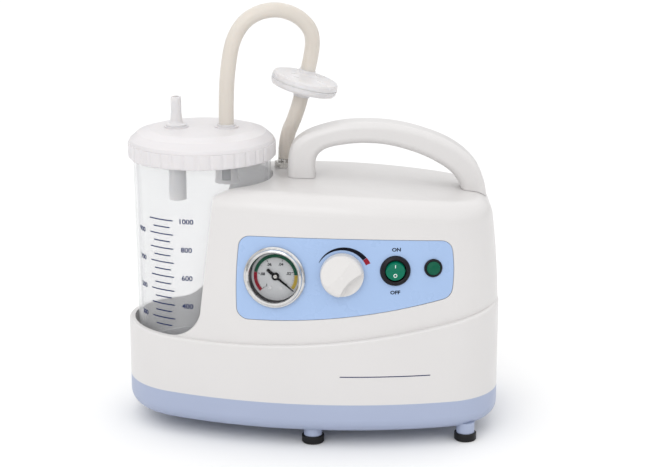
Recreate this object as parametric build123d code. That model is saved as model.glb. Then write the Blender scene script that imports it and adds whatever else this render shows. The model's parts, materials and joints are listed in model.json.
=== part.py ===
from build123d import *
import math
import os

# Portable suction unit: a vacuum pump in a moulded housing with a liquid jar nested in its left end.
# Millimetres. X runs along the unit (jar at -X, heel of the carry handle at +X), -Y is the front with the
# controls, +Z is up. The origin lies under the middle of the whole object, on the surface that the four feet
# stand on. The knob stands out at the front, so the housing's own centre plane, which every dimension below is
# taken from, is BODY_Y behind the origin.

os.makedirs("parts", exist_ok=True)

# ---- driving dimensions -------------------------------------------------------------------------------
LENGTH = 296.0            # footprint along X
DEPTH = 176.0             # footprint along Y
BODY_Y = 2.0              # housing centre plane behind the origin
FOOT_HEIGHT = 12.0        # underside of the tray above the floor
SEAM_Z = 36.0             # joint between the blue tray and the white housing
WALL = 3.0                # housing and tray wall

JAR_X = -87.0             # jar axis, on Y = 0
JAR_R = 54.5              # outside of the jar near its mouth
JAR_FOOT_R = 53.0         # outside of the jar near its floor
JAR_WALL = 2.2
JAR_MOUTH_Z = 221.0
RECESS_R = 56.5           # bore of the seat that the jar stands in
SEAT_Z = 55.0             # floor of the seat
PAD_THICKNESS = 1.0

END_R = 61.0              # round end of the footprint, about the jar axis
FRONT_CENTRE_X = 33.0     # the long front arc is deepest here; the back mirrors it
CORNER_R = 50.0           # plan radius of the two right-hand corners

LEDGE_LOW_X = -80.0       # the tub's top edge is one long arc in XZ, lowest here
LEDGE_LOW_Z = 81.2
LEDGE_R = 980.0
STEP_IN = 3.5             # the upper body stands this far inside the tub
LEAN = 0.07               # further set-in of the front per millimetre of height
BACK_LEAN = 0.16          # the same for the back
LEAN_Z = 85.0
TOP_FILLET = 16.0

HANDLE_HALF_WIDTH = 13.0
PANEL_THICKNESS = 1.2
PANEL_DEPTH = 1.4         # depth of the pocket that the control panel lies in

GAUGE_AT = (-27.8, 135.6)      # control positions on the front face, as (x, z)
KNOB_AT = (23.7, 139.3)
SWITCH_AT = (64.4, 141.7)
LAMP_AT = (93.5, 142.8)
MAINS_AT = (92.0, 66.0)        # mains socket on the back of the tub

MOTOR_Y = 16.0            # motor axis runs along X
MOTOR_Z = 84.0
CRANK_X = 16.0            # plane of the crank and the cylinder
THROW = 3.0               # eccentricity of the crank; the piston travels twice this

HOSE_R = 6.0
HOSE_BORE_R = 3.75
BARB_AT = (-21.5, 28.0)   # vacuum connection on top of the body

# The front arc is tangent inside to the round end, which fixes its centre.
RISE = DEPTH / 2 - END_R
RUN = FRONT_CENTRE_X - JAR_X
FRONT_CENTRE_Y = (RUN**2 - RISE**2) / (2 * RISE)
FRONT_R = FRONT_CENTRE_Y + DEPTH / 2


def ledge_z(x):
    """Height of the tub's top edge at x."""
    return LEDGE_LOW_Z + LEDGE_R - math.sqrt(LEDGE_R**2 - (x - LEDGE_LOW_X) ** 2)


def front_inset(z, lean=LEAN):
    """How far the upper body's front or back face lies inside the footprint at height z."""
    return STEP_IN + lean * (z - LEAN_Z)


# ---- small helpers ------------------------------------------------------------------------------------
def save(name, *shapes):
    """Writes one node, made of one or more separate solids."""
    solids = [Pos(0, BODY_Y, 0) * s for shape in shapes for s in shape.solids()]
    export_step(Compound(children=solids), f"parts/{name}.step")


def disc(radius, z0, z1):
    return Pos(0, 0, (z0 + z1) / 2) * Cylinder(radius, z1 - z0)


def ring(outer, inner, z0, z1):
    return disc(outer, z0, z1) - disc(inner, z0 - 1, z1 + 1)


def block(x0, x1, y0, y1, z0, z1):
    return Pos((x0 + x1) / 2, (y0 + y1) / 2, (z0 + z1) / 2) * Box(x1 - x0, y1 - y0, z1 - z0)


def turned(*points):
    """Solid of revolution about Z from an outline of (radius, z) points."""
    return revolve(make_face(Plane.XZ * Polyline(*points, close=True)), Axis.Z, 360)


def along_x(shape, x=0.0):
    """Turns a shape made about Z so that its axis is the motor axis, its z becoming x."""
    return Pos(x, MOTOR_Y, MOTOR_Z) * Rot(0, 90, 0) * shape


def arc_about(centre, start, end):
    """The shorter arc from start to end about centre."""
    c, s, e = Vector(*centre), Vector(*start), Vector(*end)
    middle = c + ((s - c) + (e - c)).normalized() * (s - c).length
    return ThreePointArc(s, middle, e)


def toward(origin, target, distance):
    o, t = Vector(*origin), Vector(*target)
    p = o + (t - o).normalized() * distance
    return (p.X, p.Y)


def mirrored(p):
    return (p[0], -p[1])


def plan(inset):
    """Footprint outline, moved inwards by inset, as a face on Z = 0."""
    front = (FRONT_CENTRE_X, FRONT_CENTRE_Y)
    jar = (JAR_X, 0.0)
    front_r = FRONT_R - inset
    corner_r = CORNER_R - inset
    side_x = LENGTH / 2 - inset
    corner_x = side_x - corner_r
    drop = math.sqrt((front_r - corner_r) ** 2 - (corner_x - FRONT_CENTRE_X) ** 2)
    corner = (corner_x, FRONT_CENTRE_Y - drop)
    end_front = toward(front, jar, front_r)
    front_corner = toward(front, corner, front_r)
    corner_side = (side_x, corner[1])
    edges = [
        arc_about(front, end_front, front_corner),
        arc_about(corner, front_corner, corner_side),
        Line(corner_side, mirrored(corner_side)),
        arc_about(mirrored(corner), mirrored(corner_side), mirrored(front_corner)),
        arc_about(mirrored(front), mirrored(front_corner), mirrored(end_front)),
        ThreePointArc(mirrored(end_front), (JAR_X - END_R + inset, 0), end_front),
    ]
    return make_face(edges)


def prism(inset, z0, z1):
    return Pos(0, 0, z0) * extrude(plan(inset), z1 - z0)


# ---- housing shapes -----------------------------------------------------------------------------------
def below_ledge(drop):
    """Everything under the ledge arc, lowered by drop."""
    left, right = -LENGTH / 2 - 10, LENGTH / 2 + 10
    rim_left = (left, ledge_z(left) - drop)
    rim_right = (right, ledge_z(right) - drop)
    edges = [
        ThreePointArc(rim_left, (LEDGE_LOW_X, LEDGE_LOW_Z - drop), rim_right),
        Polyline(rim_right, (right, 0), (left, 0), rim_left),
    ]
    return extrude(make_face([Plane.XZ * e for e in edges]), LENGTH, both=True)


def body_profile(inset):
    """Side profile (XZ) of the upper body: sweeping left edge, gently falling top, right-hand side."""
    foot = 70.0
    corner_r = 25.0
    left = -111.0 + inset
    rim = ledge_z(left) - inset
    neck_x = left + corner_r
    bend = corner_r * (1 - math.cos(math.pi / 4))
    top_left = (-74.5 + inset, 199.3 - inset)
    top_middle = (25.0, 197.2 - inset)
    top_right = (141.0 - inset, 186.4 - inset)
    side_middle = (146.6 - inset, 130.0)
    side_foot = (147.7 - inset, foot)
    edges = [
        Line((left, foot), (left, rim)),
        ThreePointArc((left, rim), (neck_x - bend, rim + bend), (neck_x, rim + corner_r)),
        Line((neck_x, rim + corner_r), top_left),
        ThreePointArc(top_left, top_middle, top_right),
        ThreePointArc(top_right, side_middle, side_foot),
        Line(side_foot, (left, foot)),
    ]
    return extrude(make_face([Plane.XZ * e for e in edges]), DEPTH, both=True)


def upper_body(inset):
    """Upper body as a solid with rounded corners and top, moved inwards by inset."""
    low, high = 60.0, 210.0
    solid = body_profile(inset)
    for side, lean in ((1, LEAN), (-1, BACK_LEAN)):
        low_r = FRONT_R - front_inset(low, lean) - inset
        high_r = FRONT_R - front_inset(high, lean) - inset
        middle = Pos(FRONT_CENTRE_X, side * FRONT_CENTRE_Y, (low + high) / 2)
        solid &= middle * Cone(low_r, high_r, high - low)
    upright = [e for e in solid.edges() if (e @ 0.5).X > 130 and abs((e @ 0).Z - (e @ 1).Z) > 60]
    solid = fillet(upright, CORNER_R - inset - 2)
    rim = [e for e in solid.edges() if (e @ 0.5).Z > 180 and (e @ 0.5).X > -70]
    return fillet(rim, TOP_FILLET - inset)


def front_plane(x, z, depth=0.0):
    """Plane lying on the front face at (x, z), moved into the body by depth; its Z points outwards."""
    r = FRONT_R - front_inset(z)
    swing = math.asin((x - FRONT_CENTRE_X) / r)
    y = FRONT_CENTRE_Y - r * math.cos(swing)
    tilt = math.atan(LEAN)
    out = Vector(math.sin(swing) * math.cos(tilt), -math.cos(swing) * math.cos(tilt), math.sin(tilt))
    across = Vector(math.cos(swing), math.sin(swing), 0)
    return Plane(origin=Vector(x, y, z) - out * depth, x_dir=across, z_dir=out)


def tub_back_plane(x, z, depth=0.0):
    """Plane lying on the back of the tub at (x, z), moved inwards by depth; its Z points outwards."""
    swing = math.asin((x - FRONT_CENTRE_X) / FRONT_R)
    y = -FRONT_CENTRE_Y + FRONT_R * math.cos(swing)
    out = Vector(math.sin(swing), math.cos(swing), 0)
    across = Vector(-math.cos(swing), math.sin(swing), 0)
    return Plane(origin=Vector(x, y, z) - out * depth, x_dir=across, z_dir=out)


def panel_outline(margin):
    """Control panel outline in XZ as a solid bar along Y, grown by margin."""
    m = margin
    top_left, top_right = (-54.5 - m, 166.2 + m), (106.9 + m, 163.0 + m)
    right, left = (107.4 + m, 119.5 - m), (-57.0 - m, 101.5 - m)
    edges = [
        ThreePointArc(top_left, (28, 166.3 + m), top_right),
        ThreePointArc(top_right, (109.4 + m, 140), right),
        ThreePointArc(right, (22, 105.3 - m), left),
        ThreePointArc(left, (-57.5 - m, 132), top_left),
    ]
    bar = extrude(make_face([Plane.XZ * e for e in edges]), DEPTH, both=True)
    uprights = [e for e in bar.edges() if abs((e @ 0).Y - (e @ 1).Y) > 50]
    return fillet(uprights, 9.0 + m)


# ---- tray and feet ------------------------------------------------------------------------------------
FEET = [(1.2, -71.0), (121.2, -66.0), (1.2, 71.0), (121.2, 66.0)]
BASE_SCREWS = [(-112.0, 0.0), (-22.0, -68.0), (-22.0, 68.0), (134.0, -40.0), (134.0, 40.0)]
ISOLATORS = [(-2.0, -19.0), (-2.0, 51.0), (104.0, -19.0), (104.0, 51.0)]
ISOLATOR_Z = 22.0

tray = prism(0, FOOT_HEIGHT, SEAM_Z)
tray = fillet(tray.faces().sort_by(Axis.Z)[0].edges(), 11)
hollow = prism(WALL, FOOT_HEIGHT + WALL, SEAM_Z + 1)
tray -= fillet(hollow.faces().sort_by(Axis.Z)[0].edges(), 8)
lip = prism(WALL - 0.1, SEAM_Z - 6, SEAM_Z) + prism(WALL + 0.2, SEAM_Z, SEAM_Z + 2.5)
tray += lip - prism(WALL + 1.8, SEAM_Z - 7, SEAM_Z + 3)
for x, y in FEET:
    tray += Pos(x, y, 0) * disc(7.2, 4, FOOT_HEIGHT + WALL)
for x, y in BASE_SCREWS:
    tray += Pos(x, y, 0) * disc(6, FOOT_HEIGHT, SEAM_Z)
    tray -= Pos(x, y, 0) * disc(4.2, FOOT_HEIGHT - 1, 22)
    tray -= Pos(x, y, 0) * disc(2.2, FOOT_HEIGHT, SEAM_Z + 1)
for x, y in ISOLATORS:
    tray += Pos(x, y, 0) * disc(8, FOOT_HEIGHT + 1, ISOLATOR_Z)
    tray -= Pos(x, y, 0) * disc(1.9, FOOT_HEIGHT + 2, ISOLATOR_Z + 1)
for i in range(7):
    tray -= block(66 + 6 * i, 69 + 6 * i, 4, 30, FOOT_HEIGHT - 1, FOOT_HEIGHT + WALL + 1)
save("base_tray", tray)

foot = turned((0, 0), (7.9, 0), (8.75, 0.9), (8.75, 5.8), (8.2, 6.4), (7.25, 6.4), (7.25, 4), (0, 4))
save("rubber_feet", *[Pos(x, y, 0) * foot for x, y in FEET])

base_screw = disc(3.8, 19.4, 22) + disc(1.8, 22, 46) - block(-0.5, 0.5, -4, 4, 19, 20.4)
save("base_screws", *[Pos(x, y, 0) * base_screw for x, y in BASE_SCREWS])

# ---- housing ------------------------------------------------------------------------------------------
tub = prism(0, SEAM_Z, 130) & below_ledge(0)
tub = fillet(tub.faces().sort_by(Axis.Z)[-1].edges(), 2.0)
outer = tub + upper_body(0)
cavity = (prism(WALL, SEAM_Z - 1, 130) & below_ledge(WALL)) + upper_body(WALL)
jar_axis = Pos(JAR_X, 0, 0)
cup = jar_axis * disc(RECESS_R + WALL, SEAT_Z - WALL, 230)
housing = outer - cavity + (cup & outer) - jar_axis * disc(RECESS_R, SEAT_Z, 230)
for x, y in BASE_SCREWS:
    reach = 16 if x < 0 else 20
    post = Pos(x, y, 0) * disc(5, SEAM_Z + 0.1, 64 if y else SEAT_Z - 1)
    if y:
        turn = math.copysign(90, y) if x < 0 else math.copysign(20, y)
        post += Pos(x, y, 0) * Rot(0, 0, turn) * block(0, reach, -1.5, 1.5, SEAM_Z + 3, 64)
    housing += post & prism(1, SEAM_Z, 130)
    housing -= Pos(x, y, 0) * disc(1.85, SEAM_Z - 1, 50)

pocket = (upper_body(-1) - upper_body(PANEL_DEPTH)) & panel_outline(0.4)
housing -= pocket & block(-80, 130, -DEPTH, -40, 90, 175)

GAUGE_FRAME = front_plane(*GAUGE_AT, depth=PANEL_DEPTH).location
KNOB_FRAME = front_plane(*KNOB_AT, depth=PANEL_DEPTH).location
SWITCH_FRAME = front_plane(*SWITCH_AT, depth=PANEL_DEPTH).location
LAMP_FRAME = front_plane(*LAMP_AT, depth=PANEL_DEPTH).location
MAINS_FRAME = tub_back_plane(*MAINS_AT, depth=1.2).location
CONTROL_HOLES = [(GAUGE_FRAME, 21.4), (KNOB_FRAME, 5.2), (SWITCH_FRAME, 10.8), (LAMP_FRAME, 5.8)]
for frame, radius in CONTROL_HOLES:
    housing -= frame * disc(radius, -12, 12)
housing -= MAINS_FRAME * block(-25, 25, -19, 19, 0, 4)
housing -= MAINS_FRAME * block(-15.2, 15.2, -16.2, 16.2, -8, 4)
for x in (-20, 20):
    housing -= MAINS_FRAME * Pos(x, 0, 0) * disc(1.75, -8, 4)
for i in range(11):
    housing -= block(-6 + 8 * i, -2 + 8 * i, 50, DEPTH / 2, 112, 156)

# vacuum connection: a flat boss with a hole, and slots for the two tongues of the carry handle
BARB_Z = 199.6
barb_axis = Pos(BARB_AT[0], BARB_AT[1], 0)
housing += barb_axis * disc(9, 192, BARB_Z)
housing -= barb_axis * disc(5.1, 185, BARB_Z + 1)
TONGUES = [(-8.5, 180.0, 204.0), (129.3, 172.0, 193.0)]   # (x, lower end, root) of the tongues of the handle
for x, z, _ in TONGUES:
    housing -= block(x - 6.3, x + 6.3, -8.3, 8.3, z - 6, 215)
save("upper_housing", housing)

pad = jar_axis * ring(52, 30, SEAT_Z, SEAT_Z + PAD_THICKNESS)
save("jar_seat_pad", pad)

# ---- carry handle -------------------------------------------------------------------------------------
outer_line = Spline(
    (-19.5, 190), (-18.9, 206.6), (-14.6, 225), (-4.6, 233.4), (7, 238), (22.6, 241.8), (42, 243.2), (69.7, 240.9),
    (93.2, 234.5), (109, 227.8), (121.1, 219.6), (129.6, 210.9), (135, 200.9), (138, 189.8), (139.2, 172)
)
inner_line = Spline(
    (2.4, 190), (2.8, 206), (5.2, 217), (11.6, 221.8), (22.6, 224.6), (34.7, 226), (46.8, 226.1), (56.9, 225.3),
    (67, 223.3), (79, 219.8), (91.1, 215), (101.2, 209.6), (110.3, 203), (116.4, 195), (119.8, 184), (121, 170)
)
arch = make_face([
    Plane.XZ * outer_line,
    Plane.XZ * Line(outer_line @ 1, inner_line @ 1),
    Plane.XZ * inner_line,
    Plane.XZ * Line(inner_line @ 0, outer_line @ 0),
])
handle = Pos(0, HANDLE_HALF_WIDTH, 0) * extrude(arch, 2 * HANDLE_HALF_WIDTH, dir=(0, -1, 0))
long_edges = [e for e in handle.edges() if abs((e @ 0.5).Y) > HANDLE_HALF_WIDTH - 0.1 and e.length > 60]
handle = fillet(long_edges, 5.5)
handle -= upper_body(-0.25)
handle = handle.solids().sort_by(SortBy.VOLUME)[-1]
for x, z, root in TONGUES:
    handle += block(x - 6, x + 6, -8, 8, z, root)
    handle -= Pos(x, 0, 0) * disc(1.9, z - 1, z + 12)
save("carry_handle", handle)

handle_screw = disc(7, -3, -1) + disc(1.8, -1, 10) - block(-0.5, 0.5, -7.5, 7.5, -3.5, -2.4)
save("handle_screws", *[Pos(x, 0, z) * handle_screw for x, z, _ in TONGUES])

# ---- control panel ------------------------------------------------------------------------------------
panel = (upper_body(PANEL_DEPTH - PANEL_THICKNESS) - upper_body(PANEL_DEPTH)) & panel_outline(0)
panel &= block(-80, 130, -DEPTH, -40, 90, 175)
for frame, radius in CONTROL_HOLES:
    panel -= frame * disc(radius, -12, 12)
save("control_panel", panel)

# ---- vacuum gauge: its axis leaves the front face squarely --------------------------------------------
GAUGE_R = 24.0
gauge_bezel = turned(
    (20.6, -1.0), (23.4, -1.0), (GAUGE_R, 1.8), (GAUGE_R, 3.6), (23.2, 4.6), (22.4, 4.8), (21.8, 6.2),
    (20.7, 6.8), (19.9, 6.2), (19.5, 4.4), (20.6, 4.4)
)
panel_face = upper_body(PANEL_DEPTH - PANEL_THICKNESS - 0.05)
save("gauge_bezel", GAUGE_FRAME * gauge_bezel - panel_face)
gauge_case = disc(20.4, -24, 4.0) - disc(19.3, -22.5, 5) - disc(5.0, -26, -20)
save("gauge_case", GAUGE_FRAME * gauge_case)
DIAL_FRAME = GAUGE_FRAME * Pos(0, 0, -3.2)      # the dial lies this deep in its case
dial_plate = disc(19.1, 0.0, 0.8) - disc(2.2, -1, 2) - disc(0.9, -1, 2).moved(Pos(4.2, -9.3, 0))
dial_plate -= disc(0.9, -1, 2).moved(Pos(-4.2, -9.3, 0))
save("gauge_dial", DIAL_FRAME * dial_plate)
dial_screw = disc(1.5, 0.8, 1.4) + disc(0.8, -2, 0.8)
save("gauge_dial_screws", *[DIAL_FRAME * Pos(x, -9.3, 0) * dial_screw for x in (-4.2, 4.2)])
save("gauge_lens", GAUGE_FRAME * disc(19.4, 4.45, 5.6))
needle = disc(3.0, 1.4, 2.6) + block(-1.2, 1.2, -7.4, 0, 1.6, 2.2)
needle += disc(1.2, 1.6, 2.2).moved(Pos(0, -7.4, 0))
blade = Polyline((-1.1, 0), (-0.25, 18), (0.25, 18), (1.1, 0), close=True)
needle += extrude(Pos(0, 0, 1.6) * make_face(blade), 0.6)
needle += disc(1.0, -14.8, 2.0)
NEEDLE_REST = -128.0      # the zero end of the scale, at the lower right
save("gauge_needle", DIAL_FRAME * Rot(0, 0, NEEDLE_REST) * needle)
movement = block(-9, 9, -10, 10, -19, -7) - disc(1.05, -20, -6)
movement += ring(17.6, 15.5, -17, -9) - block(-20, 20, -20, 0, -18, -8) + block(-18, -9, -1, 3, -15, -11)
movement += block(9, 18, -1, 3, -15, -11)
stem = disc(4.8, -38, -19) - disc(2.0, -39, -24)
save("gauge_movement", GAUGE_FRAME * (movement + stem))

# ---- pressure regulator: knob, stem, valve body -------------------------------------------------------
KNOB_R = 16.8
FIN_ANGLE = 47.0          # direction of the ridge across the knob: deep scoop one side, bevel the other
knob = turned((0, 2.0), (16.4, 2.0), (KNOB_R, 2.5), (16.2, 10.4), (15.2, 12.4), (13, 13.4), (0, 13.8))
scoop = Pos(0, -37.6, 0) * (disc(31, 7.0, 30) + turned((0, 5.6), (28.5, 5.6), (31, 7.0), (0, 7.0)))
bevel = Pos(0, 1.5, 13.8) * Rot(-13, 0, 0) * block(-25, 25, 0, 40, 0, 20)
knob -= Rot(0, 0, FIN_ANGLE) * scoop
knob -= Rot(0, 0, FIN_ANGLE) * bevel
knob -= disc(9.2, 1.0, 4.0)
knob -= disc(3.0, 1.0, 11.6)
save("regulator_knob", KNOB_FRAME * knob)
save("regulator_stem", KNOB_FRAME * (disc(3.0, -26, 11.6) + ring(5.5, 2.9, -26, -23)))
PORT_DEPTH = -32.0
valve = block(-14, 14, -15, 15, -46, -13) + disc(9, -13, -1.8) + disc(5.0, -2, 3.6)
valve -= disc(3.06, -22.9, 5)
valve -= disc(6.5, -40, -22.9)
for x in (-8, 8):
    valve += Pos(x, 0, PORT_DEPTH) * Rot(-90, 0, 0) * ring(3.0, 1.8, 14, 20)
valve += ring(3.0, 1.8, -51, -45)
save("regulator_valve", KNOB_FRAME * valve)

# ---- power switch and lamp ----------------------------------------------------------------------------
HINGE_Z = -1.0            # rocker hinge line, below the panel surface
ROCK = 9.0                # rocker tilt either side of level; it rests with its upper half out
bezel = turned(
    (8.4, -1), (8.4, 3.4), (9.2, 3.9), (11.2, 3.0), (11.8, 1.5), (11.8, -0.5), (10.6, -0.5), (10.6, -1)
)
bezel = SWITCH_FRAME * bezel - (panel_face - SWITCH_FRAME * disc(10.7, -30, 10))
body = ring(10.6, 8.4, -14, -1) + disc(10.6, -16, -13)
hinge_hole = Rot(0, 90, 0) * disc(1.26, -14, 14)
switch_body = body
for x in (-5, 0, 5):
    switch_body += block(x - 0.4, x + 0.4, -3, 3, -24, -15)
switch_body = bezel + SWITCH_FRAME * switch_body
save("switch_body", switch_body - SWITCH_FRAME * Pos(0, 0, HINGE_Z) * hinge_hole)
rocker = Sphere(8.1) & block(-10, 10, -10, 10, -4, 7)
dish_line = Polyline((0, 3.2), (-11, 5.6), (-11, 12), (11, 12), (11, 5.6), close=True)
rocker -= extrude(Plane.YZ * make_face(dish_line), 12, both=True)
rocker += Rot(0, 90, 0) * disc(1.2, -10.2, 10.2)
save("switch_rocker", SWITCH_FRAME * Pos(0, 0, HINGE_Z) * Rot(ROCK, 0, 0) * rocker)

lamp_body = turned((5.4, 1.5), (5.4, 2.8), (5.9, 3.0), (7.1, 2.1), (7.1, -0.5), (4.2, -0.5), (4.2, 1.5))
lamp_body = LAMP_FRAME * lamp_body - (panel_face - LAMP_FRAME * disc(5.7, -30, 10))
lamp_body += LAMP_FRAME * (ring(5.6, 4.2, -3, 1.4) + disc(5.6, -18, -3))
save("lamp_body", lamp_body)
lens = turned((0, 1.5), (5.3, 1.5), (5.3, 2.9), (4.5, 3.8), (2.8, 4.4), (0, 4.6)) + disc(4.1, -2.9, 1.6)
save("lamp_lens", LAMP_FRAME * lens)

# ---- vacuum connection on top of the body -------------------------------------------------------------
hexagon = extrude(RegularPolygon(8.8, 6), 1)
barb = scale(hexagon, (1, 1, 4.4)).moved(Pos(0, 0, BARB_Z)) + disc(6.2, BARB_Z + 4.4, BARB_Z + 6.6)
barb += turned(
    (0, BARB_Z + 6.6), (3.2, BARB_Z + 6.6), (3.2, BARB_Z + 9), (2.9, BARB_Z + 11), (3.2, BARB_Z + 11.2),
    (2.8, BARB_Z + 15), (0, BARB_Z + 15)
)
barb += disc(4.9, 184, BARB_Z)
barb -= disc(1.9, 180, BARB_Z + 20)
save("inlet_barb", barb_axis * barb)

# ---- jar, lid and float valve -------------------------------------------------------------------------
JAR_FLOOR_Z = SEAT_Z + PAD_THICKNESS
jar = turned(
    (0, JAR_FLOOR_Z), (JAR_FOOT_R - 4, JAR_FLOOR_Z), (JAR_FOOT_R - 1, JAR_FLOOR_Z + 1.2),
    (JAR_FOOT_R, JAR_FLOOR_Z + 4), (JAR_R, 205), (JAR_R, 216), (JAR_R + 1.1, 217), (JAR_R + 1.1, JAR_MOUTH_Z),
    (JAR_R - JAR_WALL, JAR_MOUTH_Z), (JAR_R - JAR_WALL, 205), (JAR_FOOT_R - JAR_WALL, JAR_FLOOR_Z + 5),
    (JAR_FOOT_R - 5, JAR_FLOOR_Z + 2.4), (0, JAR_FLOOR_Z + 2.4)
)
save("jar", jar_axis * jar)

LID_R = 58.6
LID_TOP_Z = 238.6
NOZZLE_X, HOSE_PORT_X = -20.0, 19.5       # from the jar axis
lid = turned(
    (56.2, 215), (57.6, 215), (57.6, 227), (56.8, 229.4), (51, 234.4), (41, 237.2), (0, 238),
    (0, 235.2), (40, 233.8), (49, 231), (50.5, JAR_MOUTH_Z + 1.8), (56.2, JAR_MOUTH_Z + 1.8)
)
GRIPS = 36
corners = [
    (r * math.cos(math.radians(a)), r * math.sin(math.radians(a)))
    for i in range(GRIPS)
    for r, a in ((57.8, i * 10), (LID_R, i * 10 + 2.4), (LID_R, i * 10 + 7.6))
]
grip_band = extrude(Pos(0, 0, 216) * make_face(Polyline(*corners, close=True)), 10.6) - disc(57.0, 200, 230)
lid += grip_band
for x in (NOZZLE_X, HOSE_PORT_X):
    lid += Pos(x, 0, 0) * disc(9.5, 235, LID_TOP_Z)
    lid -= Pos(x, 0, 0) * disc(4.0, 230, 240)
save("lid", jar_axis * lid)
save("lid_seal", jar_axis * ring(55.4, 51.6, JAR_MOUTH_Z, JAR_MOUTH_Z + 1.8))

nozzle = turned(
    (2.8, 230), (4.0, 230), (4.0, LID_TOP_Z), (8, LID_TOP_Z), (8, LID_TOP_Z + 1.4), (5.6, LID_TOP_Z + 2.6),
    (5.0, LID_TOP_Z + 4), (4.2, 250), (4.2, 262), (2.8, 262)
)
save("patient_port", jar_axis * Pos(NOZZLE_X, 0, 0) * nozzle)
port_top = LID_TOP_Z + 1.6
hose_port = turned(
    (2.2, 230), (4.0, 230), (4.0, LID_TOP_Z), (7.2, LID_TOP_Z), (7.2, port_top), (3.2, port_top),
    (3.2, port_top + 11), (2.2, port_top + 11)
)
save("hose_port", jar_axis * Pos(HOSE_PORT_X, 0, 0) * hose_port)
drip_tube = ring(7, 5.8, 179, 234.0)
save("drip_tube", jar_axis * Pos(NOZZLE_X, 0, 0) * drip_tube)

FLOAT_LIFT = 12.0
cage = ring(9.6, 8.4, 193, 233.8) + disc(9.6, 193, 194.6)
for turn in (0, 90):
    cage -= Rot(0, 0, turn) * block(-12, 12, -3.5, 3.5, 196, 222)
cage -= disc(3, 190, 195)
save("float_cage", jar_axis * Pos(HOSE_PORT_X, 0, 0) * cage)
float_body = turned((0, 195.2), (6.2, 195.2), (7.6, 196.6), (7.6, 211), (6.2, 212.4), (0, 214.6))
save("float_valve", jar_axis * Pos(HOSE_PORT_X, 0, 0) * float_body)

# ---- hydrophobic filter between the two hoses ---------------------------------------------------------
FILTER_CENTRE = Vector(-5.8, 21.5, 269.0)
FILTER_AXIS = Vector(0.245, -0.02, 0.97).normalized()
filter_frame = Plane(origin=FILTER_CENTRE, z_dir=FILTER_AXIS).location
NECK = 11.0
half_shell = turned(
    (2.0, -19), (3.2, -19), (3.2, -NECK), (6.6, -NECK), (7.0, -9), (9.5, -7.4), (23.5, -5.6), (25.6, -4.9),
    (26.4, -3.6), (26.9, -0.3), (24.4, -0.3), (24.4, -3.4), (9, -5.2), (2.0, -7)
)
save("filter_shell_lower", filter_frame * half_shell)
save("filter_shell_upper", filter_frame * Rot(180, 0, 0) * half_shell)
save("filter_membrane", filter_frame * disc(26.2, -0.3, 0.3))


def hose(route, outer=HOSE_R, bore=HOSE_BORE_R):
    """Plain tube along a route of points: straight runs joined by tangent arcs."""
    points = [Vector(*p) for p in route]
    radii = []
    for before, here, after in zip(points, points[1:], points[2:]):
        run_in, run_out = here - before, after - here
        turn = math.radians(run_in.get_angle(run_out))
        radii.append(0.45 * min(run_in.length, run_out.length) / math.tan(turn / 2))
    path = FilletPolyline(*points, radius=radii)
    start = Plane(origin=path @ 0, z_dir=path % 0)
    section = make_face(start * Circle(outer).edge()) - make_face(start * Circle(bore).edge())
    tube = sweep(section, path=path)
    print(f"tube {path.length:.1f} mm, radii", [round(r, 1) for r in radii],
          f"volume ratio {tube.volume / (section.area * path.length):.4f}")
    return tube


upper_end = FILTER_CENTRE + FILTER_AXIS * NECK
upper_bend = FILTER_CENTRE + FILTER_AXIS * (NECK + 16.5)
lower_start = FILTER_CENTRE - FILTER_AXIS * NECK
UPPER_ROUTE = [
    (JAR_X + HOSE_PORT_X, 0, port_top), (JAR_X + HOSE_PORT_X, 0, 259), (-65.8, 1, 285), (-61.2, 3, 309),
    (-49.2, 5.5, 324.6), (-30, 8.5, 330.4), (-12.3, 12.5, 325.4), (0.2, 16.5, 312.6), tuple(upper_bend), tuple(upper_end)
]
LOWER_ROUTE = [
    tuple(lower_start), tuple(lower_start - FILTER_AXIS * 15), (*BARB_AT, 223), (*BARB_AT, BARB_Z + 6.6)
]
save("upper_hose", hose(UPPER_ROUTE))
save("lower_hose", hose(LOWER_ROUTE))

# ---- pump: motor, crank, piston and cylinder, all on one sprung plate ---------------------------------
PLATE_Z = 32.0
screw_hole = 2.3
plate = block(-12, 114, MOTOR_Y - 40, MOTOR_Y + 40, PLATE_Z - 2, PLATE_Z)
for x, y in ISOLATORS:
    plate -= Pos(x, y, 0) * disc(screw_hole, PLATE_Z - 3, PLATE_Z + 1)
save("pump_plate", plate)
isolator = turned(
    (screw_hole, ISOLATOR_Z), (7.5, ISOLATOR_Z), (6.2, ISOLATOR_Z + 2.5), (6.2, ISOLATOR_Z + 5.5),
    (7.5, PLATE_Z - 2), (screw_hole, PLATE_Z - 2)
)
save("rubber_isolators", *[Pos(x, y, 0) * isolator for x, y in ISOLATORS])
plate_screw = disc(4.2, PLATE_Z, PLATE_Z + 2.4) + disc(1.85, ISOLATOR_Z - 4, PLATE_Z)
save("plate_screws", *[Pos(x, y, 0) * plate_screw for x, y in ISOLATORS])

BORE_R = 19.0
PISTON_GAP = 0.4
CASE_TOP = 118.0
crankcase = block(-6, 38, MOTOR_Y - 28, MOTOR_Y + 28, PLATE_Z, CASE_TOP)
crankcase -= block(-2, 32, MOTOR_Y - 40, MOTOR_Y + 40, PLATE_Z + 5, CASE_TOP - 5)
crankcase -= along_x(disc(11.0, 31, 39)) + along_x(disc(7.0, -9, 0))
crankcase -= Pos(CRANK_X, MOTOR_Y, 0) * disc(BORE_R, CASE_TOP - 6, CASE_TOP + 1)
save("crankcase", crankcase)
cylinder = ring(21.4, BORE_R, CASE_TOP, 124) + ring(23.0, BORE_R, 124, 148)
for z in (124.5, 129, 134, 139):
    cylinder += ring(26.5, BORE_R, z, z + 1.8)
save("cylinder", Pos(CRANK_X, MOTOR_Y, 0) * cylinder)
INLET_PORT = (CRANK_X + 9, MOTOR_Y)
HEAD_TOP = 164.0
head = disc(25.5, 148, HEAD_TOP) - disc(21.5, 151, HEAD_TOP - 4)
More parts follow.
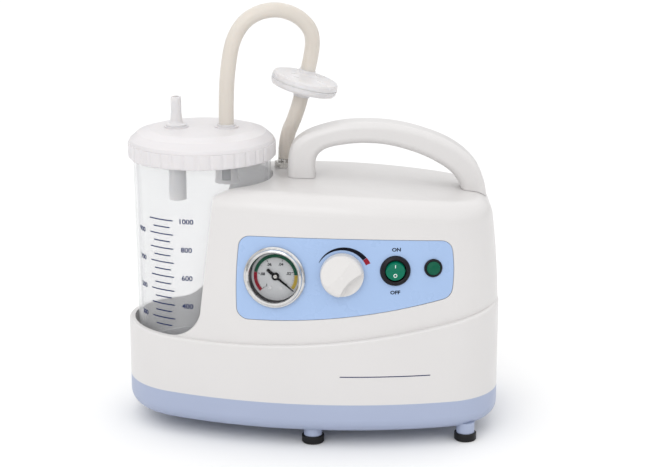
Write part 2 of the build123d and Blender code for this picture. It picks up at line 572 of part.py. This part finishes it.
head += block(-1.5, 1.5, -22, 22, 150, HEAD_TOP - 3)
for x in (-9, 9):
    head -= Pos(x, 0, 0) * disc(3.5, 147, 152)
for i in range(8):
    head += Rot(0, 0, 22.5 + 45 * i) * block(15, 25.5, -0.9, 0.9, HEAD_TOP - 1, HEAD_TOP + 4)
head += Pos(9, 0, 0) * disc(4.5, HEAD_TOP - 4, HEAD_TOP + 8)
head -= Pos(9, 0, 0) * disc(1.8, HEAD_TOP - 5, HEAD_TOP + 9)
head -= Pos(-9, 0, 0) * disc(3.0, HEAD_TOP - 5, HEAD_TOP + 1)
save("cylinder_head", Pos(CRANK_X, MOTOR_Y, 0) * head)
muffler = turned((0, 164), (3.4, 164), (3.4, 166), (7.2, 168), (7.2, 184), (5.2, 187), (0, 187))
muffler -= disc(5.6, 169.5, 182.5)
for i in range(3):
    muffler -= Rot(0, 0, 60 * i) * block(-9, 9, -0.8, 0.8, 171, 181)
save("exhaust_muffler", Pos(CRANK_X - 9, MOTOR_Y, 0) * muffler)

RING_BORE = 17.6          # the big end clears the crank all round through its turn: this pivot is open
piston = Rot(0, 90, 0) * ring(RING_BORE + 4, RING_BORE, -4, 4)
piston += block(-4, 4, -6, 6, RING_BORE + 2.5, 42)
piston += turned(
    (0, 41), (17.4, 41), (17.4, 45), (BORE_R - PISTON_GAP, 49.4), (16.6, 49.4), (15.6, 47), (0, 47)
)
save("piston_and_rod", Pos(CRANK_X, MOTOR_Y, MOTOR_Z) * piston)
SHAFT_R = 4.0
save("motor_shaft", along_x(disc(SHAFT_R, 0, 124)))
crank = Pos(0, THROW, 0) * disc(9.2, CRANK_X - 5, CRANK_X + 5) + disc(7, CRANK_X + 5, 29)
crank -= disc(SHAFT_R, 0, 60)
save("crank", along_x(crank))
ROTOR_R = 22.0
rotor = ring(ROTOR_R, SHAFT_R, 48, 92) + ring(19, 9, 44, 48) + ring(19, 9, 92, 96)
save("motor_rotor", along_x(rotor))
fan = ring(9, SHAFT_R, 112, 122)
for i in range(7):
    blade = Rot(0, 0, i * 360 / 7) * Pos(19.5, 0, 117) * Rot(32, 0, 0) * Box(23, 13, 1.4)
    fan += blade
fan += ring(33, 31, 113.4, 120.6)
save("cooling_fan", along_x(fan))
STATOR_BORE = ROTOR_R + 0.5
stator = ring(35.5, STATOR_BORE, 48, 92)
for i in range(4):
    stator -= Rot(0, 0, 45 + 90 * i) * block(33, 36, -7, 7, 40, 100)
save("motor_stator", along_x(stator))
coil = ring(33, 23.5, 41, 48) + ring(33, 23.5, 92, 98.5)
save("motor_windings", along_x(coil))
case = ring(37.5, 35.5, 38, 104) + ring(37.5, 9.0, 104, 106.5)
for i in range(6):
    case -= Rot(0, 0, 30 + 60 * i) * Pos(22, 0, 0) * disc(5.5, 103, 108)
save("motor_case", along_x(case))
bearings = [ring(11.0, SHAFT_R + 0.05, 31.5, 38), ring(9.0, SHAFT_R + 0.05, 103.4, 108.5)]
save("motor_bearings", *[along_x(b) for b in bearings])
cradle = block(52, 88, MOTOR_Y - 30, MOTOR_Y + 30, PLATE_Z, 66) - along_x(disc(37.5, 50, 90))
cradle -= block(50, 90, MOTOR_Y - 24, MOTOR_Y + 24, PLATE_Z - 1, 50) & block(56, 84, 0, 60, 20, 60)
save("motor_cradle", cradle)

# ---- pipework: bent metal tube from the top connection through the regulator to the pump --------------


def world(frame, x, y, z):
    p = (frame * Pos(x, y, z)).position
    return (p.X, p.Y, p.Z)


PIPE_R, PIPE_BORE = 3.0, 2.0


def pipe(route, bend):
    path = FilletPolyline(*route, radius=bend)
    start = Plane(origin=path @ 0, z_dir=path % 0)
    section = make_face(start * Circle(PIPE_R).edge()) - make_face(start * Circle(PIPE_BORE).edge())
    return sweep(section, path=path)


valve_left = world(KNOB_FRAME, -8, 20, PORT_DEPTH)
valve_right = world(KNOB_FRAME, 8, 20, PORT_DEPTH)
above_left = world(KNOB_FRAME, -8, 37, PORT_DEPTH)
above_right = world(KNOB_FRAME, 8, 40, PORT_DEPTH)
save(
    "vacuum_pipes",
    pipe([(*BARB_AT, 184), (*BARB_AT, 173), above_left, valve_left], 6),
    pipe([valve_right, above_right, (*INLET_PORT, 182), (*INLET_PORT, HEAD_TOP + 8)], 5),
    pipe([
        world(GAUGE_FRAME, 0, 0, -38), world(GAUGE_FRAME, 0, 0, -52), world(KNOB_FRAME, 0, 0, -64),
        world(KNOB_FRAME, 0, 0, -51)
    ], 5),
)

# ---- mains socket with fuse drawer, on the back -------------------------------------------------------
socket = block(-24.4, 24.4, -18.4, 18.4, 0.2, 2.6) + block(-14.9, 14.9, -15.9, 15.9, -20, 0.3)
mouth = extrude(Plane.XY * make_face(Polyline(
    (-12, -6), (12, -6), (12, 6), (8, 10.5), (-8, 10.5), (-12, 6), close=True)), 30)
socket -= Pos(0, 4, -17.5) * mouth
socket -= block(-11.3, 11.3, -14.3, -4.7, -17, 4)
for x in (-20, 20):
    socket -= Pos(x, 0, 0) * disc(2.0, -1, 4)
pins = [block(x - 1, x + 1, y - 2, y + 2, -22, -4) for x, y in ((-7, 2), (7, 2), (0, 7))]
for pin in pins:
    socket -= pin
save("mains_socket", MAINS_FRAME * socket)
save("mains_pins", *[MAINS_FRAME * p for p in pins])
mains_screw = turned((0, 2.6), (3.6, 2.6), (3.2, 3.8), (0, 4.4)) + disc(1.7, -6, 2.6)
save("mains_screws", *[MAINS_FRAME * Pos(x, 0, 0) * mains_screw for x in (-20, 20)])
drawer = block(-11, 11, -14, -5, -16.5, 3.4) - block(-9.5, 9.5, -12.8, -6.2, -17, 1)
drawer -= block(-6, 6, -6.4, -4, 1.8, 5)
save("fuse_drawer", MAINS_FRAME * drawer)
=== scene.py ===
"""Looks of the portable suction unit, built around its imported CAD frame."""

import json
import math

import bpy
import numpy as np
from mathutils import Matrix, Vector
from mathutils.bvhtree import BVHTree


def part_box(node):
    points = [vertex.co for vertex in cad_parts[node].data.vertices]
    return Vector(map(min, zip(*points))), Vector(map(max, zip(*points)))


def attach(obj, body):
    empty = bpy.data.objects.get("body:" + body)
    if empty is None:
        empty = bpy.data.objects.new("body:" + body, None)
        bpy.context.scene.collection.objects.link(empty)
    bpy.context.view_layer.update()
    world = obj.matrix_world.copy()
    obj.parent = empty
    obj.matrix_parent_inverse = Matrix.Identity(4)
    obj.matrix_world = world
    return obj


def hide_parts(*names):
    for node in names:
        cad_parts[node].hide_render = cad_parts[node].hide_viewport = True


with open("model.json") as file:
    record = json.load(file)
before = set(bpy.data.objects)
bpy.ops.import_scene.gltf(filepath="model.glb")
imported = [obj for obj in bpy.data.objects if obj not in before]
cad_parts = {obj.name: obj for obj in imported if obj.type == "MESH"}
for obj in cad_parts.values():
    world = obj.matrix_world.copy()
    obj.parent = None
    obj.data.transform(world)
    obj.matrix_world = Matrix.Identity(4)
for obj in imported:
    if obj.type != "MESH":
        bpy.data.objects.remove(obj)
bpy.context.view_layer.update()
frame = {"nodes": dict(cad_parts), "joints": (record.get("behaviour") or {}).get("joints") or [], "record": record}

NODES = frame["nodes"]
JOINTS = {joint["name"]: joint for joint in frame["joints"]}
MM = 0.001
jar_low, jar_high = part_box("jar")
BODY_Y = (jar_low[1] + jar_high[1]) / 2 / MM      # the housing's centre plane in the frame's Y, mm


# ---- materials ------------------------------------------------------------------------------
DRIFT_SCALE = 14            # noise scales, in object space
GLOSS_SCALE = 60
HAZE_SCALE = 30
RIPPLE_SCALE = 55
GRAIN_DEPTH = 0.00004       # bump distances, metres
MARK_DEPTH = 0.00003
RIPPLE_DEPTH = 0.0002
RIPPLE_STRENGTH = 0.05
PLASTIC_IOR = 1.5
SOFT_RADIUS = (0.004, 0.0035, 0.003)
COAT_ROUGH = 0.12


def shader(name):
    """A new node material: (material, nodes, links, principled shader)."""
    material = bpy.data.materials.new(name)
    material.use_nodes = True
    tree = material.node_tree
    return material, tree.nodes, tree.links, tree.nodes["Principled BSDF"]


def noise(nodes, links, scale, detail, stretch=None):
    """Noise in object space; stretch scales the coordinates to draw it out along an axis."""
    coords = nodes.new("ShaderNodeTexCoord")
    texture = nodes.new("ShaderNodeTexNoise")
    texture.inputs["Scale"].default_value = scale
    texture.inputs["Detail"].default_value = detail
    if stretch:
        mapping = nodes.new("ShaderNodeMapping")
        mapping.inputs["Scale"].default_value = stretch
        links.new(coords.outputs["Object"], mapping.inputs["Vector"])
        links.new(mapping.outputs["Vector"], texture.inputs["Vector"])
    else:
        links.new(coords.outputs["Object"], texture.inputs["Vector"])
    return texture.outputs["Fac"]


def remap(nodes, links, value, from_range, to_range):
    """Maps a value from one range onto another."""
    node = nodes.new("ShaderNodeMapRange")
    node.inputs["From Min"].default_value, node.inputs["From Max"].default_value = from_range
    node.inputs["To Min"].default_value, node.inputs["To Max"].default_value = to_range
    links.new(value, node.inputs["Value"])
    return node.outputs["Result"]


def spread(nodes, links, value, low, high):
    """Maps a noise value from its middle range onto low..high."""
    return remap(nodes, links, value, (0.3, 0.7), (low, high))


def tint(nodes, links, value, first, second):
    """Mixes two colours by a value."""
    node = nodes.new("ShaderNodeMix")
    node.data_type = "RGBA"
    node.inputs["A"].default_value = (*first, 1)
    node.inputs["B"].default_value = (*second, 1)
    links.new(value, node.inputs["Factor"])
    return node.outputs["Result"]


def bump(nodes, links, bsdf, height, strength, distance):
    """Bump from a height value, into the shader's normal."""
    node = nodes.new("ShaderNodeBump")
    node.inputs["Strength"].default_value = strength
    node.inputs["Distance"].default_value = distance
    links.new(height, node.inputs["Height"])
    links.new(node.outputs["Normal"], bsdf.inputs["Normal"])


def moulded(name, colour, rough, grain, grain_strength, drift, soft=0.0, coat=0.0, shine=0.5):
    """Moulded plastic, rubber or ink: fine grain, slow colour drift and uneven gloss. soft is the
    subsurface weight, coat the clear coat's weight and shine the specular level."""
    material, nodes, links, bsdf = shader(name)
    darker = tuple(c * (1 - drift) for c in colour)
    lighter = tuple(min(1, c * (1 + drift * 0.6)) for c in colour)
    slow = spread(nodes, links, noise(nodes, links, DRIFT_SCALE, 2), 0, 1)
    links.new(tint(nodes, links, slow, darker, lighter), bsdf.inputs["Base Color"])
    patchy = noise(nodes, links, GLOSS_SCALE, 3)
    links.new(spread(nodes, links, patchy, rough - 0.05, rough + 0.06), bsdf.inputs["Roughness"])
    bump(nodes, links, bsdf, noise(nodes, links, grain, 2), grain_strength, GRAIN_DEPTH)
    bsdf.inputs["IOR"].default_value = PLASTIC_IOR
    bsdf.inputs["Specular IOR Level"].default_value = shine
    if soft:
        bsdf.inputs["Subsurface Weight"].default_value = soft
        bsdf.inputs["Subsurface Radius"].default_value = SOFT_RADIUS
        bsdf.inputs["Subsurface Scale"].default_value = 1.0
    if coat:
        bsdf.inputs["Coat Weight"].default_value = coat
        bsdf.inputs["Coat Roughness"].default_value = COAT_ROUGH
    return material


def metal(name, colour, rough, stretch=(1, 1, 1), scale=900, strength=0.1):
    """Metal with fine drawn or turned marks."""
    material, nodes, links, bsdf = shader(name)
    marks = noise(nodes, links, scale, 4, stretch)
    darker = tuple(c * 0.86 for c in colour)
    shade = spread(nodes, links, marks, 0, 1)
    links.new(tint(nodes, links, shade, darker, colour), bsdf.inputs["Base Color"])
    gloss = spread(nodes, links, marks, max(0.02, rough - 0.07), rough + 0.08)
    links.new(gloss, bsdf.inputs["Roughness"])
    bump(nodes, links, bsdf, marks, strength, MARK_DEPTH)
    bsdf.inputs["Metallic"].default_value = 1.0
    return material


def clear(name, colour, rough, veil, rim_veil):
    """Clear or milky plastic. veil is how much of each face is seen instead of what lies behind
    it, and rim_veil the same where the face turns edge-on."""
    material, nodes, links, bsdf = shader(name)
    haze = noise(nodes, links, HAZE_SCALE, 3)
    cloudy = tuple(c * 0.97 for c in colour)
    shade = spread(nodes, links, haze, 0, 1)
    links.new(tint(nodes, links, shade, cloudy, colour), bsdf.inputs["Base Color"])
    links.new(spread(nodes, links, haze, rough * 0.8, rough * 1.25), bsdf.inputs["Roughness"])
    bump(nodes, links, bsdf, noise(nodes, links, RIPPLE_SCALE, 2), RIPPLE_STRENGTH, RIPPLE_DEPTH)
    edge = nodes.new("ShaderNodeLayerWeight")
    edge.inputs["Blend"].default_value = 0.5
    cover = remap(nodes, links, edge.outputs["Facing"], (0.6, 1.0), (veil, rim_veil))
    links.new(cover, bsdf.inputs["Alpha"])
    bsdf.inputs["IOR"].default_value = PLASTIC_IOR
    return material


def print_ink(name, colour, rough=0.45, drift=0.1, shine=0.1):
    """Printing ink, or the paint of a mark."""
    return moulded(name, colour, rough, 2500, 0.05, drift, shine=shine)


# moulded: colour, roughness, grain scale, grain strength, colour drift. metal: colour, roughness,
# stretch of its marks, their scale, their depth. clear: colour, roughness, veil, veil at the rim.
MATERIALS = {
    "housing_white": moulded("housing_white", (0.64, 0.625, 0.62), 0.34, 2200, 0.10, 0.012, coat=0.15),
    "tray_blue": moulded("tray_blue", (0.35, 0.40, 0.54), 0.42, 2000, 0.12, 0.02),
    "rubber_black": moulded("rubber_black", (0.006, 0.006, 0.007), 0.5, 1500, 0.3, 0.2, shine=0.3),
    "screw_steel": metal("screw_steel", (0.62, 0.62, 0.63), 0.3),
    "panel_blue": moulded("panel_blue", (0.33, 0.46, 0.70), 0.3, 2600, 0.06, 0.02, coat=0.1),
    "bezel_chrome": metal("bezel_chrome", (0.66, 0.655, 0.65), 0.1, (1, 1, 1), 500, 0.05),
    "black_plastic": moulded("black_plastic", (0.006, 0.005, 0.008), 0.35, 1600, 0.1, 0.15, shine=0.2),
    "dial_white": moulded("dial_white", (0.56, 0.57, 0.585), 0.5, 3000, 0.08, 0.03),
    "needle_black": moulded("needle_black", (0.004, 0.004, 0.005), 0.4, 2500, 0.1, 0.2, shine=0.1),
    "clear_window": clear("clear_window", (0.06, 0.06, 0.065), 0.04, 0.05, 0.3),
    "brass": metal("brass", (0.71, 0.52, 0.24), 0.3),
    "knob_white": moulded("knob_white", (0.64, 0.625, 0.615), 0.38, 2200, 0.1, 0.012),
    "rocker_green": moulded("rocker_green", (0.001, 0.155, 0.09), 0.3, 1200, 0.05, 0.12, shine=0.2),
    "lamp_green": moulded("lamp_green", (0.0, 0.095, 0.05), 0.3, 900, 0.05, 0.15, shine=0.2),
    "clear_jar": clear("clear_jar", (0.80, 0.81, 0.83), 0.12, 0.17, 0.6),
    "lid_white": moulded("lid_white", (0.66, 0.64, 0.65), 0.36, 1800, 0.08, 0.015, soft=0.2),
    "translucent_white": moulded(
        "translucent_white", (0.66, 0.645, 0.65), 0.3, 1800, 0.06, 0.02, soft=0.4
    ),
    "seal_silicone": moulded("seal_silicone", (0.70, 0.70, 0.67), 0.45, 1800, 0.1, 0.03),
    # the CAD slot is called red, but the photo shows this part grey
    "float_red": moulded("float_red", (0.16, 0.165, 0.18), 0.4, 1800, 0.1, 0.05),
    "hose_silicone": moulded("hose_silicone", (0.63, 0.585, 0.53), 0.33, 1500, 0.1, 0.03, soft=0.35),
    "membrane": moulded("membrane", (0.84, 0.84, 0.82), 0.8, 3000, 0.4, 0.02),
    "nickel": metal("nickel", (0.60, 0.585, 0.56), 0.24),
    "cast_aluminium": metal("cast_aluminium", (0.56, 0.57, 0.58), 0.45, (1, 1, 1), 700, 0.5),
    "steel_zinc": metal("steel_zinc", (0.58, 0.585, 0.60), 0.35, (1, 1, 1), 120, 0.1),
    "lamination": metal("lamination", (0.30, 0.30, 0.32), 0.5, (12, 1, 1), 900, 0.5),
    "copper": metal("copper", (0.62, 0.30, 0.17), 0.32, (8, 1, 1), 700, 0.5),
    "pump_plastic": moulded("pump_plastic", (0.035, 0.035, 0.04), 0.45, 1600, 0.15, 0.1),
}
INK_BLUE = print_ink("ink_blue", (0.006, 0.016, 0.085))
INK_BLACK = print_ink("ink_black", (0.003, 0.004, 0.010))
INK_RED = print_ink("ink_red", (0.26, 0.012, 0.025))
INK_GREEN = print_ink("ink_green", (0.008, 0.085, 0.045))
INK_YELLOW = print_ink("ink_yellow", (0.50, 0.36, 0.06))
INK_WHITE = print_ink("ink_white", (0.85, 0.87, 0.87), rough=0.4, drift=0.02, shine=0.5)

for part in frame["record"]["subparts"]:
    mesh = NODES[part["node"]].data
    mesh.materials.clear()
    mesh.materials.append(MATERIALS[part["material_slot"]])


# ---- printed marks: thin solids that lie on a surface ---------------------------------------
PRINT_LIFT = 0.00012        # a mark's face above its surface, and its back below it, metres
PRINT_SINK = 0.00008
RAY_FRONT = -0.5            # where the rays onto a front face start, metres
RAY_RADIUS = 0.2            # and those onto the jar, from its axis
CAPITAL = 0.7               # height of a capital in the built-in font at size 1


def surface(node):
    """Ray casting tree of a CAD node."""
    mesh = NODES[node].data
    corners = [vertex.co.copy() for vertex in mesh.vertices]
    return BVHTree.FromPolygons(corners, [polygon.vertices[:] for polygon in mesh.polygons])


def on_front(tree):
    """Places (x, z) in mm on a surface that faces -Y."""
    def place(x, z, lift):
        hit, normal, _, _ = tree.ray_cast(Vector((x * MM, RAY_FRONT, z * MM)), Vector((0, 1, 0)))
        return hit + normal * lift
    return place


def on_jar(tree, axis):
    """Places (degrees from straight ahead, z in mm) on the outside of the jar."""
    def place(turn, z, lift):
        a = math.radians(turn)
        out = Vector((math.sin(a), -math.cos(a), 0))
        hit, _, _, _ = tree.ray_cast(axis + out * RAY_RADIUS + Vector((0, 0, z * MM)), -out)
        return hit + out * lift
    return place


def on_plane(origin, across, up, out, height):
    """Places (x, y) in mm on a plane that stands height mm out from the origin."""
    def place(x, y, lift):
        return origin + across * (x * MM) + up * (y * MM) + out * (height * MM + lift)
    return place


def joint_frame(name):
    """Local frame of a control: its joint's point, with across level, up, and its axis as out."""
    joint = JOINTS[name]
    out = Vector(joint["axis"]).normalized()
    across = Vector((0, 0, 1)).cross(out).normalized()
    return Vector(joint["pos_m"]), across, out.cross(across), out


def printed(name, flat, faces, place, ink, body):
    """A mark as a thin closed solid: flat points and faces, put on a surface by place()."""
    count = len(flat)
    verts = [place(x, y, PRINT_LIFT) for x, y in flat] + [place(x, y, -PRINT_SINK) for x, y in flat]
    edges = dict.fromkeys(edge for face in faces for edge in zip(face, face[1:] + face[:1]))
    sides = [(b, a, a + count, b + count) for a, b in edges if (b, a) not in edges]
    backs = [tuple(i + count for i in reversed(face)) for face in faces]
    mesh = bpy.data.meshes.new(name)
    mesh.from_pydata(verts, [], [tuple(face) for face in faces] + backs + sides)
    mesh.materials.append(ink)
    mesh.validate()
    piece = bpy.data.objects.new(name, mesh)
    bpy.context.collection.objects.link(piece)
    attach(piece, body)


def joined(parts):
    """Several (flat, faces) marks as one."""
    flat, faces = [], []
    for points, polygons in parts:
        start = len(flat)
        flat += points
        faces += [[i + start for i in polygon] for polygon in polygons]
    return flat, faces


def grid_mark(rows):
    """Quads between neighbouring rows of points."""
    flat = [point for row in rows for point in row]
    width = len(rows[0])
    faces = [
        [i * width + j, i * width + j + 1, (i + 1) * width + j + 1, (i + 1) * width + j]
        for i in range(len(rows) - 1)
        for j in range(width - 1)
    ]
    return flat, faces


def bar(x0, x1, y0, y1, steps=6):
    """A straight bar, cut into steps so that it follows a curved surface."""
    return grid_mark([[(x, y0), (x, y1)] for x in np.linspace(x1, x0, steps)])


def arc(inner, outer, start, end, steps, centre=(0, 0)):
    """Band between two radii; inner and outer are functions of the angle in degrees."""
    rows = []
    for a in np.linspace(start, end, steps):
        c, s = math.cos(math.radians(a)), math.sin(math.radians(a))
        rows.append([(centre[0] + r(a) * c, centre[1] + r(a) * s) for r in (inner, outer)])
    return grid_mark(rows)


def radius(value):
    """The same radius at every angle."""
    return lambda angle: value


def lettering(text, height, x, y, stretch=1.0, weight=0.0):
    """Flat outline of a short text, centred on (x, y), in mm."""
    curve = bpy.data.curves.new("lettering", "FONT")
    curve.body = text
    curve.size = height / CAPITAL
    curve.align_x = "CENTER"
    curve.resolution_u = 3
    curve.offset = weight
    holder = bpy.data.objects.new("lettering", curve)
    bpy.context.collection.objects.link(holder)
    graph = bpy.context.evaluated_depsgraph_get()
    mesh = bpy.data.meshes.new_from_object(holder.evaluated_get(graph))
    flat = [(x + v.co.x * stretch, y + (v.co.y - height / 2)) for v in mesh.vertices]
    faces = [list(polygon.vertices) for polygon in mesh.polygons]
    bpy.data.objects.remove(holder)
    bpy.data.meshes.remove(mesh)
    return flat, faces


# ---- control panel print: places and sizes in mm, angles in degrees -------------------------
KNOB_X, KNOB_Z = 23.7, 139.3
SWITCH_X, SWITCH_Z = 64.4, 141.7
ARC_CENTRE = (KNOB_X, KNOB_Z - 1.3)
ARC_R = 20.0
ARC_FROM, ARC_RED, ARC_TO = 150.0, 37.0, 24.5     # thin end, start of the red part, full end
ARC_THIN, ARC_GROWTH = 0.3, 3.5                   # width at the thin end, and what it gains
ARC_GAP = 0.4
LABEL_HEIGHT = 2.65
TUB_LINE = (22, 92, 58.7, 59.4)


def arc_edge(angle):
    """Outer radius of the regulator's arc, which widens from left to right."""
    along = max(0.0, (ARC_FROM - angle) / (ARC_FROM - ARC_TO))
    return ARC_R + (ARC_THIN + ARC_GROWTH * along ** 0.85)


panel = on_front(surface("control_panel"))
black_arc = arc(radius(ARC_R), arc_edge, ARC_FROM, ARC_RED + ARC_GAP, 60, ARC_CENTRE)
red_arc = arc(radius(ARC_R), arc_edge, ARC_RED, ARC_TO, 12, ARC_CENTRE)
printed("print_arc", *black_arc, panel, INK_BLACK, "unit")
printed("print_arc_end", *red_arc, panel, INK_RED, "unit")
labels = [
    lettering("ON", LABEL_HEIGHT, SWITCH_X + 0.8, SWITCH_Z + 16.4, stretch=1.15, weight=0.12),
    lettering("OFF", LABEL_HEIGHT, SWITCH_X, SWITCH_Z - 16.9, stretch=1.15, weight=0.12),
]
printed("print_labels", *joined(labels), panel, INK_BLACK, "unit")
rocker = on_front(surface("switch_rocker"))
symbols = [
    bar(SWITCH_X - 0.3, SWITCH_X + 0.3, SWITCH_Z + 2.6, SWITCH_Z + 5.2),
    arc(radius(0.95), radius(1.45), 0, 360, 33, (SWITCH_X, SWITCH_Z - 3.6)),
]
printed("switch_symbols", *joined(symbols), rocker, INK_WHITE, "rocker")
tub = on_front(surface("upper_housing"))
printed("print_line", *bar(*TUB_LINE, 40), tub, INK_BLUE, "unit")

# ---- gauge face: radii and heights in mm, angles in degrees ---------------------------------
DIAL_HEIGHT = -3.4          # the dial's face, out from the needle's joint
HUB_HEIGHT = -1.6
BAND_IN, BAND_OUT = radius(14.6), radius(17.3)
BANDS = (
    ("dial_red", 225, 170.6, INK_RED),
    ("dial_green", 170, 5.6, INK_GREEN),
    ("dial_yellow", 5, -35, INK_YELLOW),
)
SCALE_START, SCALE_SWEEP = -38, 263
TICK_STEPS = 40
TICK_OUT = 14.4
LONG_TICK, MIDDLE_TICK, SHORT_TICK = 12.6, 13.4, 13.8      # inner ends
THICK_TICK, THIN_TICK = 0.22, 0.13                         # half widths
DIAL_NUMBERS = ("0", ".02", ".04", ".06", ".08", ".1")
NUMBER_HEIGHT, NUMBER_R = 2.2, 10.4

origin, across, up, out = joint_frame("needle_sweep")
dial = on_plane(origin, across, up, out, DIAL_HEIGHT)
for name, start, end, colour in BANDS:
    printed(name, *arc(BAND_IN, BAND_OUT, start, end, 50), dial, colour, "unit")
ticks = []
for step in range(TICK_STEPS + 1):
    angle = math.radians(SCALE_START + step * SCALE_SWEEP / TICK_STEPS)
    inner = LONG_TICK if step % 8 == 0 else MIDDLE_TICK if step % 4 == 0 else SHORT_TICK
    width = THICK_TICK if step % 8 == 0 else THIN_TICK
    c, s = math.cos(angle), math.sin(angle)
    ends = ((inner, -width), (TICK_OUT, -width), (TICK_OUT, width), (inner, width))
    corners = [(r * c - w * s, r * s + w * c) for r, w in ends]
    ticks.append((corners, [[0, 1, 2, 3]]))
printed("dial_ticks", *joined(ticks), dial, INK_BLACK, "unit")
numbers = []
for step, text in enumerate(DIAL_NUMBERS):
    angle = math.radians(SCALE_START + step * SCALE_SWEEP / (len(DIAL_NUMBERS) - 1))
    x, y = NUMBER_R * math.cos(angle), NUMBER_R * math.sin(angle)
    numbers.append(lettering(text, NUMBER_HEIGHT, x, y, weight=0.08))
printed("dial_numbers", *joined(numbers), dial, INK_BLACK, "unit")
hub = on_plane(origin, across, up, out, HUB_HEIGHT)
printed("needle_hub", *arc(radius(0.3), radius(1.4), 0, 360, 25), hub, MATERIALS["nickel"], "needle")

# ---- jar scale: heights in mm, turns and half widths in degrees round the jar ---------------
MM_PER_100 = 11.4
TOP_MARK_Z = 173.6
MARK_COUNT = 16             # every 50 mL
MARK_HALF = 0.45            # half thickness of a line
LONG_TURN, LONG_HALF = -34.0, 12.0
SHORT_TURN, SHORT_HALF = LONG_TURN + 0.7, 8.4
RIGHT_FIGURES, LEFT_FIGURES = -10.5, -58.0
FIGURE_HEIGHT = 3.9

jar_axis = Vector(((jar_low[0] + jar_high[0]) / 2, BODY_Y * MM, 0))
jar_face = on_jar(surface("jar"), jar_axis)
marks, figures = [], []
for step in range(MARK_COUNT):
    z = TOP_MARK_Z - step * MM_PER_100 / 2
    middle, half = (LONG_TURN, LONG_HALF) if step % 2 == 0 else (SHORT_TURN, SHORT_HALF)
    marks.append(bar(middle - half, middle + half, z - MARK_HALF, z + MARK_HALF, 12))
for step in range(MARK_COUNT // 2):
    text = str(1000 - 100 * step)
    turn = LEFT_FIGURES if step % 2 else RIGHT_FIGURES
    z = TOP_MARK_Z - step * MM_PER_100
    figures.append(lettering(text, FIGURE_HEIGHT, turn, z, stretch=1.15, weight=0.1))
printed("jar_marks", *joined(marks), jar_face, INK_BLUE, "jar")
printed("jar_figures", *joined(figures), jar_face, INK_BLUE, "jar")


# ---- hoses: mm about the housing's centre plane ---------------------------------------------
HOSE_RADIUS = 0.006         # metres
FILTER = Vector((-5.8, 21.5, 269.0))
AXIS = Vector((0.245, -0.02, 0.97)).normalized()
SPIGOT = 11                 # where a hose ends on the filter, from the filter's middle
BEND_ABOVE, BEND_BELOW = 27.5, 26                          # where it starts to bend


def hose(name, route, node):
    """A silicone hose along its route's control points."""
    curve = bpy.data.curves.new(name, "CURVE")
    curve.dimensions = "3D"
    spline = curve.splines.new("NURBS")
    spline.points.add(len(route) - 1)
    for point, (x, y, z) in zip(spline.points, route):
        point.co = (x * MM, (y + BODY_Y) * MM, z * MM, 1)
    spline.order_u = 3
    spline.use_endpoint_u = True
    spline.resolution_u = 24
    curve.bevel_depth = HOSE_RADIUS
    curve.bevel_resolution = 8
    curve.use_fill_caps = True
    curve.materials.append(MATERIALS["hose_silicone"])
    piece = bpy.data.objects.new(name, curve)
    bpy.context.collection.objects.link(piece)
    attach(piece, "hose_set")
    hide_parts(node)
    return piece


upper_route = [
    (-67.5, 0, 240.2), (-67.5, 0, 259), (-65.8, 1, 285), (-61.2, 3, 309), (-49.2, 5.5, 324.6),
    (-30, 8.5, 330.4), (-12.3, 12.5, 325.4), (0.2, 16.5, 312.6),
    tuple(FILTER + AXIS * BEND_ABOVE), tuple(FILTER + AXIS * SPIGOT),
]
lower_route = [
    tuple(FILTER - AXIS * SPIGOT), tuple(FILTER - AXIS * BEND_BELOW),
    (-21.5, 28, 223), (-21.5, 28, 206.2),
]
long_hose = hose("hose_upper", upper_route, "upper_hose")
hose("hose_lower", lower_route, "lower_hose")       # under six diameters long, so not a cord

# ---- floor, light, camera -------------------------------------------------------------------
FLOOR_SIZE = 14
bpy.ops.mesh.primitive_plane_add(size=FLOOR_SIZE, location=(0, 0, 0))
floor = bpy.context.object
floor.name = "floor"
floor.data.materials.append(moulded("floor_paper", (0.86, 0.86, 0.86), 0.95, 300, 0.02, 0.004))

# the sky brightens from the horizon up
scene = bpy.context.scene
world = bpy.data.worlds.new("studio")
world.use_nodes = True
sky_nodes, sky_links = world.node_tree.nodes, world.node_tree.links
direction = sky_nodes.new("ShaderNodeTexCoord")
height = sky_nodes.new("ShaderNodeSeparateXYZ")
sky_links.new(direction.outputs["Generated"], height.inputs["Vector"])
dome = remap(sky_nodes, sky_links, height.outputs["Z"], (0.02, 0.5), (0.5, 1.3))
sky_links.new(dome, sky_nodes["Background"].inputs["Strength"])
sky_nodes["Background"].inputs["Color"].default_value = (1.0, 1.0, 1.0, 1)
scene.world = world
scene.view_settings.view_transform = "Standard"


def area_light(name, location, target, size, power):
    """A rectangular soft light that faces its target."""
    light = bpy.data.lights.new(name, "AREA")
    light.shape = "RECTANGLE"
    light.size, light.size_y = size
    light.energy = power
    lamp = bpy.data.objects.new(name, light)
    lamp.location = location
    lamp.rotation_euler = (Vector(target) - Vector(location)).to_track_quat("-Z", "Y").to_euler()
    bpy.context.collection.objects.link(lamp)


area_light("key", (-0.5, -1.6, 1.3), (0, 0, 0.12), (1.2, 0.9), 6)
area_light("low_fill", (-0.5, -2.0, 0.42), (-0.05, 0, 0.1), (0.8, 0.4), 1.5)

LENS_PX = 1797.36           # focal length in image pixels
IMAGE_PX = 661
VIEW_DOWN = 14.8625         # degrees below level
EYE_X, EYE_AHEAD, EYE_Z = 0.01494, 1.39663, 0.52086        # metres; ahead of the centre plane
camera = bpy.data.cameras.new("camera")
camera.sensor_width = 36.0
camera.lens = LENS_PX * camera.sensor_width / IMAGE_PX
eye = bpy.data.objects.new("camera", camera)
eye.location = (EYE_X, BODY_Y * MM - EYE_AHEAD, EYE_Z)
eye.rotation_euler = (math.radians(90 - VIEW_DOWN), 0, 0)
bpy.context.collection.objects.link(eye)
scene.camera = eye
